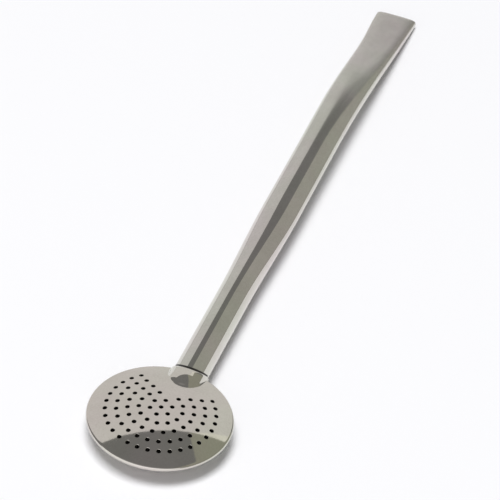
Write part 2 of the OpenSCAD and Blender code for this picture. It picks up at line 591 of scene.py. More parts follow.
    def sheet_mesh(self, name: str) -> bpy.types.Mesh:
        """Builds the closed sheet.

        Args:
            name: name of the mesh.

        Returns:
            The mesh in metres, in its place.
        """
        angle = np.linspace(-self.column_angle, self.column_angle, self.neck_columns + 1)
        y = self.middle[1] + self.sizes.neck * np.sin(np.radians(angle))
        cap, collar = self.cap_points(y, angle)
        builder = SheetBuilder(self.sizes.sheet, self.sizes.edge_bulge, self.edge_loops)
        cap_ids = builder.add(cap, self.normals(cap))
        collar_ids = builder.add(collar, self.normals(collar), self.lip_sink(collar, angle))
        rim, rim_normals = self.rim_points()
        rim_ids = builder.add(rim, rim_normals)
        last = self.neck_columns
        neck_grid = np.concatenate([cap_ids[-1:, : last + 1], collar_ids])
        edge_ids = np.concatenate([cap_ids[-1:, last:], cap_ids[-1:, :1]], axis=1)
        rim_grid = np.concatenate([edge_ids, rim_ids])
        if self.edge_angle > self.column_angle:
            left = builder.points_of(neck_grid[:, 0])
            right = builder.points_of(neck_grid[:, -1])
            left_ids = builder.add(*self.skirt(left, -1))[:, ::-1]
            right_ids = builder.add(*self.skirt(right, 1))
            neck_grid = np.concatenate([left_ids, neck_grid, right_ids], axis=1)
        builder.fan(cap_ids[0])
        builder.band(np.concatenate([cap_ids, cap_ids[:, :1]], axis=1))
        builder.band(neck_grid)
        builder.band(rim_grid)
        extra = (neck_grid.shape[1] - last - 1) // 2
        loop = [
            neck_grid[-1, :],
            neck_grid[-2::-1, -1],
            neck_grid[0, -2 : -2 - extra : -1],
            rim_grid[1:, 0],
            rim_grid[-1, 1:],
            rim_grid[-2::-1, -1],
            neck_grid[0, extra - 1 :: -1] if extra else neck_grid[:0, 0],
            neck_grid[1:-1, 0],
        ]
        return builder.mesh(name, np.concatenate(loop), self.place)

    def place(self, points: np.ndarray) -> np.ndarray:
        """Moves points from the head's middle to their place, and turns the back shell over."""
        return points * self.side.turn + self.sizes.middle(self.layout)

    def piece(
        self, name: str, finish: bpy.types.Material, strainer: Strainer | None = None
    ) -> bpy.types.Object:
        """Builds the shell and dresses it.

        Args:
            name: name of the object and its mesh.
            finish: the shell's material.
            strainer: holes that the shell has, if any.

        Returns:
            The object.
        """
        obj = add_object(name, self.sheet_mesh(name))
        if strainer:
            strainer.cut(obj, strainer.socket_values(self.profile, self.layout, finish))
        else:
            obj.data.materials.append(finish)
        return obj


def ring_faces(a: np.ndarray, b: np.ndarray) -> list[Face]:
    """Faces between two closed rows of points, which are given by their numbers."""
    c, d = np.roll(b, -1), np.roll(a, -1)
    return list(zip(a.tolist(), b.tolist(), c.tolist(), d.tolist()))


class SheetBuilder:
    """Collects the outer face of a sheet and gives it its inner face and its rounded edges."""

    def __init__(self, thickness: float, bulge: float, loops: int) -> None:
        """Starts an empty sheet.

        Args:
            thickness: thickness of the sheet.
            bulge: how far its edge is rounded out.
            loops: rows of points round its edge.
        """
        self.thickness = thickness
        self.bulge = bulge
        self.loops = loops
        self.outer: list[np.ndarray] = []
        self.inner: list[np.ndarray] = []
        self.faces: list[Face] = []
        self.count = 0

    def add(self, points: np.ndarray, normals: np.ndarray, sink: np.ndarray | float = 0.0) -> np.ndarray:
        """Takes points of the outer face.

        Args:
            points: places on the sheet's full outer face.
            normals: outward normals there.
            sink: how far the face lies below those places.

        Returns:
            The numbers of the points, in the same order.
        """
        ids = np.arange(self.count, self.count + points[..., 0].size).reshape(points.shape[:-1])
        depth = np.broadcast_to(sink, ids.shape)[..., None]
        self.outer.append((points - depth * normals).reshape(-1, 3))
        self.inner.append((points - self.thickness * normals).reshape(-1, 3))
        self.count += ids.size
        return ids

    def points_of(self, ids: np.ndarray) -> np.ndarray:
        """Points with the given numbers."""
        return np.concatenate(self.outer)[ids]

    def fan(self, ring: np.ndarray) -> None:
        """Closes the middle of a ring with one face."""
        self.faces.append(tuple(int(i) for i in ring))

    def band(self, grid: np.ndarray) -> None:
        """Adds the faces between the rows and columns of a grid of points.

        Args:
            grid: numbers of the points.
        """
        a, b = grid[:-1, :-1].ravel(), grid[1:, :-1].ravel()
        c, d = grid[1:, 1:].ravel(), grid[:-1, 1:].ravel()
        self.faces.extend(zip(a.tolist(), b.tolist(), c.tolist(), d.tolist()))

    def edge_points(self, loop: np.ndarray, outer: np.ndarray, inner: np.ndarray) -> list[np.ndarray]:
        """Rows of points round the sheet's edge, from its outer face to its inner face.

        Args:
            loop: numbers of the points along the edge.
            outer: points of the outer face.
            inner: points of the inner face.

        Returns:
            One row for each of the edge's loops.
        """
        run = np.roll(outer[loop], -1, axis=0) - np.roll(outer[loop], 1, axis=0)
        middle = (outer[loop] + inner[loop]) / 2
        half = (outer[loop] - inner[loop]) / 2
        across = unit(np.cross(half, run)) * self.bulge
        turns = math.pi * np.arange(1, self.loops + 1) / (self.loops + 1)
        return [middle + half * math.cos(a) + across * math.sin(a) for a in turns]

    def mesh(
        self, name: str, loop: np.ndarray, place: Callable[[np.ndarray], np.ndarray]
    ) -> bpy.types.Mesh:
        """Makes the closed mesh.

        Args:
            name: name of the mesh.
            loop: numbers of the points along the sheet's edge.
            place: function that moves points to their place in millimetres.

        Returns:
            The mesh in metres.
        """
        outer = np.concatenate(self.outer)
        inner = np.concatenate(self.inner)
        rows = self.edge_points(loop, outer, inner)
        ids = [loop]
        ids += [2 * self.count + k * len(loop) + np.arange(len(loop)) for k in range(self.loops)]
        ids.append(loop + self.count)
        faces = list(self.faces)
        faces += [tuple(i + self.count for i in reversed(face)) for face in self.faces]
        for a, b in zip(ids[:-1], ids[1:]):
            faces += ring_faces(a, b)
        points = place(np.concatenate([outer, inner, *rows]))
        inside = np.zeros(len(points))
        inside[self.count : 2 * self.count] = 1.0
        return closed_mesh(name, points, faces, inside)


def closed_mesh(name: str, points: np.ndarray, faces: list[Face], inside: np.ndarray) -> bpy.types.Mesh:
    """Makes a closed mesh with outward normals and smooth shading.

    Args:
        name: name of the mesh.
        points: places in millimetres.
        faces: numbers of each face's points.
        inside: 1 for points on the sheet's inner face, else 0.

    Returns:
        The mesh in metres.
    """
    mesh = bpy.data.meshes.new(name)
    mesh.from_pydata((points * MM).tolist(), [], faces)
    work = bmesh.new()
    work.from_mesh(mesh)
    bmesh.ops.recalc_face_normals(work, faces=work.faces)
    if work.calc_volume(signed=True) < 0.0:
        bmesh.ops.reverse_faces(work, faces=work.faces)
    work.to_mesh(mesh)
    work.free()
    mesh.shade_smooth()
    mesh.set_sharp_from_angle(angle=math.radians(SHARP_EDGE))
    # The finish paints shade on the faces that this marks.
    mesh.attributes.new("inner", "FLOAT", "POINT").data.foreach_set("value", inside.astype(np.float32))
    return mesh


@dataclass(frozen=True)
class StemSizes:
    """Sizes of the drawn stem, with lengths measured from the rim."""

    diameter: float = 8.2
    wall: float = 0.5
    spigot: float = 4.2
    length: float = 169.0
    oval_start: float = 27.0
    oval_end: float = 66.0
    oval_width: float = 9.9
    oval_height: float = 6.0
    mouth_start: float = 92.0
    mouth_width: float = 11.6
    mouth_height: float = 2.6
    mouth_square: float = 4.0
    bend_start: float = 98.0
    bend_length: float = 40.0
    bend_angle: float = 8.0
    waist_start: float = 112.0
    waist_middle: float = 148.0
    waist: float = 0.8
    lip_round: float = 0.2
    sides: int = 128
    straight_steps: int = 12
    steps: int = 150
    lip_loops: int = 5


@dataclass
class Stem:
    """Drawn tube: a round end in the neck, an oval middle, and a mouth pressed flat."""

    sizes: StemSizes
    head: HeadSizes
    layout: Layout

    def outline(self, s: float) -> np.ndarray:
        """Outline of the tube at one place.

        Args:
            s: distance of the place from the rim.

        Returns:
            Its width, its height and its squareness, which is 2 for an ellipse.
        """
        z = self.sizes
        oval = smooth_step(np.array(s), z.oval_start, z.oval_end)
        flat = smooth_step(np.array(s), z.mouth_start, z.length)
        round_one = np.array([z.diameter, z.diameter, 2.0])
        oval_one = np.array([z.oval_width, z.oval_height, 2.0])
        mouth = np.array([z.mouth_width, z.mouth_height, z.mouth_square])
        middle = round_one + (oval_one - round_one) * oval
        return middle + (mouth - middle) * flat - np.array([self.waist(s), 0.0, 0.0])

    def waist(self, s: float) -> float:
        """How much the hand pressing has drawn in the tube's left side in front of the mouth.

        Args:
            s: distance from the rim.

        Returns:
            The loss of width there.
        """
        z = self.sizes
        rise = smooth_step(np.array(s), z.waist_start, z.waist_middle)
        return z.waist * float(rise * (1.0 - smooth_step(np.array(s), z.waist_middle, z.length)))

    def spine(self, s: float) -> tuple[np.ndarray, float]:
        """Middle of the tube at one place.

        Args:
            s: distance of the place from the rim, along the tube.

        Returns:
            The middle in the neck's frame, and the tube's turn downward in radians.
        """
        z = self.sizes
        bend = math.radians(z.bend_angle)
        radius = z.bend_length / bend
        turn = bend * min(1.0, max(0.0, (s - z.bend_start) / z.bend_length))
        tail = max(0.0, s - z.bend_start - z.bend_length)
        x = min(s, z.bend_start) + radius * math.sin(turn) + tail * math.cos(bend)
        drop = radius * (1.0 - math.cos(turn)) + tail * math.sin(bend)
        return np.array([x, -self.waist(s) / 2, -drop]), turn

    def ring(self, s: float, inset: float) -> np.ndarray:
        """One ring of points round the tube.

        Args:
            s: distance of the ring from the rim.
            inset: how far it is drawn in from the tube's outer face.

        Returns:
            The points in the neck's frame.
        """
        width, height, square = self.outline(s)
        middle, turn = self.spine(s)
        a = np.linspace(0.0, math.tau, self.sizes.sides, endpoint=False)
        cos, sin = np.cos(a), np.sin(a)
        y = (width / 2 - inset) * np.sign(cos) * np.abs(cos) ** (2.0 / square)
        z = (height / 2 - inset) * np.sign(sin) * np.abs(sin) ** (2.0 / square)
        return middle + np.stack([z * math.sin(turn), y, z * math.cos(turn)], axis=-1)

    def stations(self) -> np.ndarray:
        """Places at which the outline is drawn.

        Returns:
            Their distances from the rim.
        """
        z = self.sizes
        straight = np.linspace(-z.spigot, z.oval_start, z.straight_steps)[:-1]
        return np.concatenate([straight, np.linspace(z.oval_start, z.length - z.lip_round, z.steps)])

    def place(self, points: np.ndarray) -> np.ndarray:
        """Moves points from the neck's frame to their place."""
        turn = np.stack([self.layout.axis, np.array([0.0, 1.0, 0.0]), self.layout.out])
        return points @ turn + self.head.middle(self.layout) + self.head.neck_place

    def tube_mesh(self, name: str) -> bpy.types.Mesh:
        """Builds the tube as one closed skin.

        Args:
            name: name of the mesh.

        Returns:
            The mesh in metres, in its place.
        """
        z = self.sizes
        stations = self.stations()
        outer = [self.ring(s, 0.0) for s in stations]
        inner = [self.ring(s, z.wall) for s in stations]
        forward = unit(outer[-1].mean(axis=0) - outer[-2].mean(axis=0))
        lip = []
        for k in range(1, z.lip_loops + 1):
            a = math.pi * k / (z.lip_loops + 1)
            share = (1.0 + math.cos(a)) / 2
            lip.append(inner[-1] + (outer[-1] - inner[-1]) * share + forward * math.sin(a) * z.lip_round)
        rings = outer + lip + inner[::-1]
        ids = np.arange(len(rings) * z.sides).reshape(len(rings), z.sides)
        ids = np.concatenate([ids, ids[:1]])
        faces: list[Face] = []
        for a, b in zip(ids[:-1], ids[1:]):
            faces += ring_faces(a, b)
        inside = np.zeros(len(rings) * z.sides)
        inside[len(outer + lip) * z.sides :] = 1.0
        return closed_mesh(name, self.place(np.concatenate(rings)), faces, inside)

    def piece(self, name: str, finish: bpy.types.Material) -> bpy.types.Object:
        """Builds the tube and dresses it.

        Args:
            name: name of the object and its mesh.
            finish: the tube's material.

        Returns:
            The object.
        """
        obj = add_object(name, self.tube_mesh(name))
        obj.data.materials.append(finish)
        return obj


@dataclass(frozen=True)
class Strainer:
    """Rings of holes that a node tree cuts through the dome, with a bare wedge in front of the neck.

    Each ring leaves out the holes nearest to the neck: those that are fewer steps away than the
    ring's number less the wedge.
    """

    hole: float = 1.05
    pitch: float = 2.55
    spacing: float = 2.53
    rings: int = 5
    wedge: float = 1.5
    chamfer: float = 0.05
    reach: float = 0.6
    sides: int = 24
    sharp: float = 30.0

    def socket_values(self, profile: DomeProfile, layout: Layout, finish: bpy.types.Material) -> dict:
        """Values of the tree's inputs.

        Args:
            profile: the dome that the holes go through.
            layout: the frame's places.
            finish: material of the cut sheet.

        Returns:
            The values by the inputs' names, in metres and radians.
        """
        middle = profile.sizes.middle(layout) + [0.0, 0.0, profile.dome_middle]
        return {
            "Hole Radius": self.hole / 2 * MM,
            "Ring Pitch": self.pitch * MM,
            "Hole Spacing": self.spacing * MM,
            "Rings": self.rings,
            "Wedge": self.wedge,
            "Chamfer": self.chamfer * MM,
            "Reach": self.reach * MM,
            "Sides": self.sides,
            "Dome Radius": profile.dome_radius * MM,
            "Dome Middle": Vector(middle * MM),
            "Turn": math.radians(-profile.sizes.yaw),
            "Sharp Angle": math.radians(self.sharp),
            "Finish": finish,
        }

    def tree(self) -> bpy.types.NodeTree:
        """Builds the node tree with its named inputs.

        Returns:
            The tree.
        """
        tree = bpy.data.node_groups.new("strainer_holes", "GeometryNodeTree")
        kinds = {
            "Sheet": "NodeSocketGeometry",
            "Hole Radius": "NodeSocketFloat",
            "Ring Pitch": "NodeSocketFloat",
            "Hole Spacing": "NodeSocketFloat",
            "Rings": "NodeSocketInt",
            "Wedge": "NodeSocketFloat",
            "Chamfer": "NodeSocketFloat",
            "Reach": "NodeSocketFloat",
            "Sides": "NodeSocketInt",
            "Dome Radius": "NodeSocketFloat",
            "Dome Middle": "NodeSocketVector",
            "Turn": "NodeSocketFloat",
            "Sharp Angle": "NodeSocketFloat",
            "Finish": "NodeSocketMaterial",
        }
        wires = Wires(tree)
        wires.declare(kinds, {"Sheet": "NodeSocketGeometry"})
        given = wires.node("NodeGroupInput").outputs
        points = self.hole_points(wires, given)
        cutter = self.cutter(wires, given)
        aligned = wires.node("FunctionNodeAlignRotationToVector", axis="Z")
        wires.join(wires.node("GeometryNodeInputPosition").outputs[0], aligned.inputs["Vector"])
        holes = wires.node("GeometryNodeInstanceOnPoints", Points=points, Instance=cutter)
        wires.join(aligned.outputs[0], holes.inputs["Rotation"])
        turn = wires.node("ShaderNodeCombineXYZ", Z=given["Turn"])
        placed = wires.node("GeometryNodeTransform", Geometry=holes.outputs[0])
        wires.join(turn.outputs[0], placed.inputs["Rotation"])
        wires.join(given["Dome Middle"], placed.inputs["Translation"])
        solid = wires.node("GeometryNodeRealizeInstances", Geometry=placed.outputs[0])
        cut = wires.node("GeometryNodeMeshBoolean", operation="DIFFERENCE", solver="MANIFOLD")
        wires.join(given["Sheet"], cut.inputs["Mesh 1"])
        wires.join(solid.outputs[0], cut.inputs["Mesh 2"])
        bend = wires.node("GeometryNodeInputMeshEdgeAngle")
        flat = wires.compare("LESS_THAN", bend.outputs["Unsigned Angle"], given["Sharp Angle"])
        smooth = wires.node("GeometryNodeSetShadeSmooth", domain="EDGE", Geometry=cut.outputs["Mesh"])
        wires.join(flat, smooth.inputs["Shade Smooth"])
        whole = wires.node("GeometryNodeRealizeInstances", Geometry=smooth.outputs[0])
        dressed = wires.node("GeometryNodeSetMaterial", Geometry=whole.outputs[0], Material=given["Finish"])
        wires.join(dressed.outputs[0], wires.node("NodeGroupOutput").inputs["Sheet"])
        return tree

    def hole_points(self, wires: Wires, given: bpy.types.NodeOutputs) -> bpy.types.NodeSocket:
        """Points on the dome's sphere, one for each hole.

        Args:
            wires: the tree that is being built.
            given: the tree's inputs.

        Returns:
            The points, with the sphere's middle as their origin.
        """
        start = wires.node("GeometryNodeRepeatInput")
        end = wires.node("GeometryNodeRepeatOutput")
        start.pair_with_output(end)
        wires.join(given["Rings"], start.inputs["Iterations"])
        top = wires.node("ShaderNodeCombineXYZ", Z=given["Dome Radius"])
        first = wires.node("GeometryNodePoints", Position=top.outputs[0])
        wires.join(first.outputs[0], start.inputs["Geometry"])
        ring = wires.math("ADD", start.outputs["Iteration"], 1.0)
        radius = wires.math("MULTIPLY", ring, given["Ring Pitch"])
        around = wires.math("MULTIPLY", radius, math.tau)
        count = wires.math("ROUND", wires.math("DIVIDE", around, given["Hole Spacing"]))
        index = wires.node("GeometryNodeInputIndex").outputs[0]
        angle = wires.math("DIVIDE", wires.math("MULTIPLY", index, math.tau), count)
        sphere = wires.math("POWER", given["Dome Radius"], 2.0)
        rest = wires.math("SUBTRACT", sphere, wires.math("POWER", radius, 2.0))
        spot = wires.node(
            "ShaderNodeCombineXYZ",
            X=wires.math("MULTIPLY", radius, wires.math("COSINE", angle)),
            Y=wires.math("MULTIPLY", radius, wires.math("SINE", angle)),
            Z=wires.math("SQRT", rest),
        )
        points = wires.node("GeometryNodePoints", Count=count, Position=spot.outputs[0])
        steps = wires.math("MINIMUM", index, wires.math("SUBTRACT", count, index))
        bare = wires.compare("LESS_THAN", steps, wires.math("SUBTRACT", ring, given["Wedge"]))
        kept = wires.node("GeometryNodeDeleteGeometry", domain="POINT", Geometry=points.outputs[0])
        wires.join(bare, kept.inputs["Selection"])
        joined = wires.node("GeometryNodeJoinGeometry")
        wires.join(kept.outputs[0], joined.inputs[0])
        wires.join(start.outputs["Geometry"], joined.inputs[0])
        wires.join(joined.outputs[0], end.inputs["Geometry"])
        return end.outputs["Geometry"]

    def cutter(self, wires: Wires, given: bpy.types.NodeOutputs) -> bpy.types.NodeSocket:
        """Solid that cuts one hole and breaks its outer edge.

        Args:
            wires: the tree that is being built.
            given: the tree's inputs.

        Returns:
            The solid, with the sheet's outer face at height 0.
        """
        bar = wires.node(
            "GeometryNodeMeshCylinder",
            Vertices=given["Sides"],
            Radius=given["Hole Radius"],
            Depth=wires.math("MULTIPLY", given["Reach"], 2.0),
        )
        # The lower segment cuts the hole's wall and the upper one flares out.
        bar.inputs["Side Segments"].default_value = 2
        spread = wires.math("DIVIDE", given["Reach"], given["Hole Radius"])
        place = wires.node("GeometryNodeInputPosition").outputs[0]
        outward = wires.node("ShaderNodeVectorMath", operation="MULTIPLY")
        wires.join(place, outward.inputs[0])
        level = wires.node("ShaderNodeCombineXYZ", X=spread, Y=spread)
        wires.join(level.outputs[0], outward.inputs[1])
        flared = wires.node("GeometryNodeSetPosition", Geometry=bar.outputs["Mesh"])
        wires.join(bar.outputs["Top"], flared.inputs["Selection"])
        wires.join(outward.outputs[0], flared.inputs["Offset"])
        height = wires.node("ShaderNodeSeparateXYZ", Vector=place).outputs["Z"]
        # The hole's wall faces are marked, and the finish paints shade on them.
        marked = wires.node("GeometryNodeStoreNamedAttribute", domain="FACE", data_type="FLOAT", Name="hole")
        wires.join(flared.outputs[0], marked.inputs["Geometry"])
        wires.join(wires.compare("LESS_THAN", height, 0.0), marked.inputs["Value"])
        sunk = wires.node("ShaderNodeCombineXYZ", Z=wires.math("MULTIPLY", given["Chamfer"], -1.0))
        lowered = wires.node("GeometryNodeTransform", Geometry=marked.outputs[0])
        wires.join(sunk.outputs[0], lowered.inputs["Translation"])
        return lowered.outputs[0]

    def cut(self, obj: bpy.types.Object, values: dict) -> None:
        """Cuts the holes and leaves the object with a plain mesh.

        Args:
            obj: the front shell's object.
            values: the tree's inputs by name.
        """
        tree = self.tree()
        modifier = obj.modifiers.new("strainer_holes", "NODES")
        modifier.node_group = tree
        for item in tree.interface.items_tree:
            if item.in_out == "INPUT" and item.name in values:
                modifier[item.identifier] = values[item.name]
        obj.update_tag()
        bpy.context.view_layer.update()
        evaluated = obj.evaluated_get(bpy.context.evaluated_depsgraph_get())
        mesh = bpy.data.meshes.new_from_object(evaluated)
        obj.modifiers.remove(modifier)
        obj.data = mesh


class Wires:
    """Short ways to add nodes to a tree and join their sockets."""

    def __init__(self, tree: bpy.types.NodeTree) -> None:
        """Keeps the tree that nodes are added to."""
        self.tree = tree
        self.nodes = tree.nodes

    def declare(self, inputs: dict[str, str], outputs: dict[str, str]) -> None:
        """Gives the tree its named inputs and outputs.

        Args:
            inputs: the types of the inputs by name.
            outputs: the types of the outputs by name.
        """
        for way, kinds in (("INPUT", inputs), ("OUTPUT", outputs)):
            for name, kind in kinds.items():
                self.tree.interface.new_socket(name, in_out=way, socket_type=kind)

    def join(self, source: bpy.types.NodeSocket, target: bpy.types.NodeSocket) -> None:
        """Links an output to an input."""
        self.tree.links.new(source, target)

    def feed(self, value: object, target: bpy.types.NodeSocket) -> None:
        """Links a socket to an input, or sets a value there.

        Args:
            value: the socket or the value.
            target: the input.
        """
        if isinstance(value, bpy.types.NodeSocket):
            self.join(value, target)
        else:
            target.default_value = value

    def node(self, kind: str, **values: object) -> bpy.types.Node:
        """Adds a node.

        Args:
            kind: the node's type.
            values: its settings, and the sockets or values for its inputs by name.

        Returns:
            The node.
        """
        node = self.nodes.new(kind)
        for name, value in values.items():
            if name in node.inputs:
                self.feed(value, node.inputs[name])
            else:
                setattr(node, name, value)
        return node

    def operation(self, kind: str, operation: str, *terms: Feed, **settings: str) -> bpy.types.Node:
        """Adds a node that works on its inputs in order.

        Args:
            kind: the node's type.
            operation: what it does.
            terms: the sockets or numbers for its inputs.
            settings: its other settings.

        Returns:
            The node.
        """
        node = self.node(kind, operation=operation, **settings)
        for target, term in zip(node.inputs, terms):
            self.feed(term, target)
        return node

    def math(self, operation: str, *terms: Feed) -> bpy.types.NodeSocket:
        """Adds a Math node on sockets or numbers and gives back its result."""
        return self.operation("ShaderNodeMath", operation, *terms).outputs[0]

    def dot(self, a: Feed, b: Feed) -> bpy.types.NodeSocket:
        """Adds a dot product of two vectors and gives back its result."""
        return self.operation("ShaderNodeVectorMath", "DOT_PRODUCT", a, b).outputs["Value"]

    def compare(self, operation: str, a: Feed, b: Feed) -> bpy.types.NodeSocket:
        """Adds a Compare node on sockets or numbers and gives back its result."""
        return self.operation("FunctionNodeCompare", operation, a, b, data_type="FLOAT").outputs[0]

    def rise(self, value: bpy.types.NodeSocket, ramp: Ramp) -> bpy.types.NodeSocket:
        """Adds an even rise from 0.

        Args:
            value: what it follows.
            ramp: the value at which it starts, the one at which it ends, and its height there.

        Returns:
            The result.
        """
        node = self.node("ShaderNodeMapRange", Value=value)
        for name, number in zip(("From Min", "From Max", "To Max"), ramp):
            node.inputs[name].default_value = number
        return node.outputs[0]

    def mix(
        self, kind: MixKind, factor: Feed, a: object, b: object, blend_type: str = "MIX"
    ) -> bpy.types.NodeSocket:
        """Adds a mix of two values or colours.

        Args:
            kind: what is mixed.
            factor: share of the second one.
            a: the first one, as a socket or a value.
            b: the second one.
            blend_type: how colours are mixed.

        Returns:
            The result.
        """
        data_type, first, second, result = kind.value
        node = self.node("ShaderNodeMix", data_type=data_type, blend_type=blend_type, Factor=factor)
        self.feed(a, node.inputs[first])
        self.feed(b, node.inputs[second])
        return node.outputs[result]


@dataclass(frozen=True)
class PolishWear:
    """Shader group with the fine lines of polishing, faint smudges and a slight waviness.

    Scales are per metre. The cast is a faint change of colour from patch to patch.
    """

    name: str = "polish_wear"
    line_tone: float = 0.3
    line_height: float = 0.12
    smudge_scale: float = 140.0
    smudge_ramp: Ramp = (0.3, 0.75, 0.45)
    grain_scale: float = 1900.0
    grain_ramp: Ramp = (0.3, 0.7, 0.3)
    wave_scale: float = 260.0
    cast_scale: float = 55.0
    cast_span: tuple[float, float] = (0.35, 0.65)
    cast_tones: tuple[Colour, Colour] = ((1.0, 0.955, 0.965), (0.965, 0.985, 0.93))

    def group(self) -> bpy.types.NodeTree:
        """Gives the group, which is built once."""
        found = bpy.data.node_groups.get(self.name)
        return found if found else self.build()

    @staticmethod
    def noise(
        wires: Wires, place: bpy.types.NodeSocket, scale: float, detail: float, roughness: float = 0.5
    ) -> bpy.types.NodeSocket:
        """Adds a noise.

        Args:
            wires: the group that is being built.
            place: where it is looked up.
            scale: its scale.
            detail: how many finer layers it has.
            roughness: how strong those are.

        Returns:
            Its value.
        """
        node = wires.node("ShaderNodeTexNoise", Vector=place, Scale=scale, Detail=detail, Roughness=roughness)
        return node.outputs["Fac"]

    def cast(self, wires: Wires, place: bpy.types.NodeSocket) -> bpy.types.NodeSocket:
        """Adds the cast.

        Args:
            wires: the group that is being built.
            place: where it is looked up.

        Returns:
            Its colour.
        """
        ramp = wires.node("ShaderNodeValToRGB", Fac=self.noise(wires, place, self.cast_scale, 2.0))
        for stop, position, tone in zip(ramp.color_ramp.elements, self.cast_span, self.cast_tones):
            stop.position = position
            stop.color = (*tone, 1.0)
        return ramp.outputs["Color"]

    def build(self) -> bpy.types.NodeTree:
        """Builds the group with its named inputs and outputs.

        Returns:
            The group.
        """
        tree = bpy.data.node_groups.new(self.name, "ShaderNodeTree")
        inputs = {
            "Place": "NodeSocketVector",
            "Stretch": "NodeSocketVector",
            "Bright": "NodeSocketColor",
            "Dull": "NodeSocketColor",
            "Smooth": "NodeSocketFloat",
            "Rough": "NodeSocketFloat",
        }
        outputs = {
            "Colour": "NodeSocketColor",
            "Roughness": "NodeSocketFloat",
            "Height": "NodeSocketFloat",
        }
        wires = Wires(tree)
        wires.declare(inputs, outputs)
        given = wires.node("NodeGroupInput").outputs
        out = wires.node("NodeGroupOutput").inputs
        place = given["Place"]
        drawn = wires.operation("ShaderNodeVectorMath", "MULTIPLY", place, given["Stretch"]).outputs[0]
        lines = self.noise(wires, drawn, 1.0, 3.0)
        smudge = wires.rise(self.noise(wires, place, self.smudge_scale, 4.0, 0.6), self.smudge_ramp)
        grain = wires.rise(self.noise(wires, place, self.grain_scale, 2.0), self.grain_ramp)
        wave = self.noise(wires, place, self.wave_scale, 1.0)
        marks = wires.math("MULTIPLY_ADD", lines, self.line_tone, wires.math("ADD", smudge, grain))
        tone = wires.mix(MixKind.COLOUR, marks, given["Bright"], given["Dull"])
        tinted = wires.mix(MixKind.COLOUR, 1.0, tone, self.cast(wires, place), "MULTIPLY")
        wires.join(tinted, out["Colour"])
        rough = wires.node("ShaderNodeMapRange", Value=marks)
        wires.join(given["Smooth"], rough.inputs["To Min"])
        wires.join(given["Rough"], rough.inputs["To Max"])
        wires.join(rough.outputs[0], out["Roughness"])
        wires.join(wires.math("MULTIPLY_ADD", lines, self.line_height, wave), out["Height"])
        return tree


@dataclass(frozen=True)
class CollarGapShade:
    """Painted shade of the collar's gap: a dark line on the stem along the neck's leaning mouth."""

    layout: Layout
    head: HeadSizes
    start: float = -0.25
    end: float = 0.62
    soft: float = 0.12
    name: str = "collar_gap_shade"

    def socket_values(self) -> dict:
        """Values of the group's inputs.

        Returns:
            The values by the inputs' names, in metres.
        """
        h = self.head
        along, out = self.layout.axis, self.layout.out
        neck = h.middle(self.layout) + h.neck_place
        lean = math.tan(math.radians(h.collar_lean))
        mouth = neck @ along + h.collar - lean * h.neck_seam
        half = (self.end - self.start) / 2
        return {
            "Along": Vector(along),
            "Out": Vector(out),
            "Seam": (neck @ out + h.neck_seam) * MM,
            "Lean": lean,
            "Middle": (mouth + (self.start + self.end) / 2) * MM,
            "Inner": (half - self.soft) * MM,
            "Outer": half * MM,
        }

    def group(self) -> bpy.types.NodeTree:
        """Builds the group, whose mask is 1 on the painted shadow line.

        Returns:
            The group.
        """
        tree = bpy.data.node_groups.new(self.name, "ShaderNodeTree")
        inputs = dict.fromkeys(("Place", "Along", "Out"), "NodeSocketVector")
        inputs |= dict.fromkeys(("Seam", "Lean", "Middle", "Inner", "Outer"), "NodeSocketFloat")
        wires = Wires(tree)
        wires.declare(inputs, {"Mask": "NodeSocketFloat"})
        given = wires.node("NodeGroupInput").outputs
        reach = wires.dot(given["Place"], given["Along"])
        height = wires.dot(given["Place"], given["Out"])
        side = wires.math("ABSOLUTE", wires.math("SUBTRACT", height, given["Seam"]))
        run = wires.math("ADD", reach, wires.math("MULTIPLY", side, given["Lean"]))
        away = wires.math("ABSOLUTE", wires.math("SUBTRACT", run, given["Middle"]))
        mask = wires.node("ShaderNodeMapRange", Value=away)
        wires.join(given["Outer"], mask.inputs["From Min"])
        wires.join(given["Inner"], mask.inputs["From Max"])
        wires.join(mask.outputs[0], wires.node("NodeGroupOutput").inputs["Mask"])
        return tree


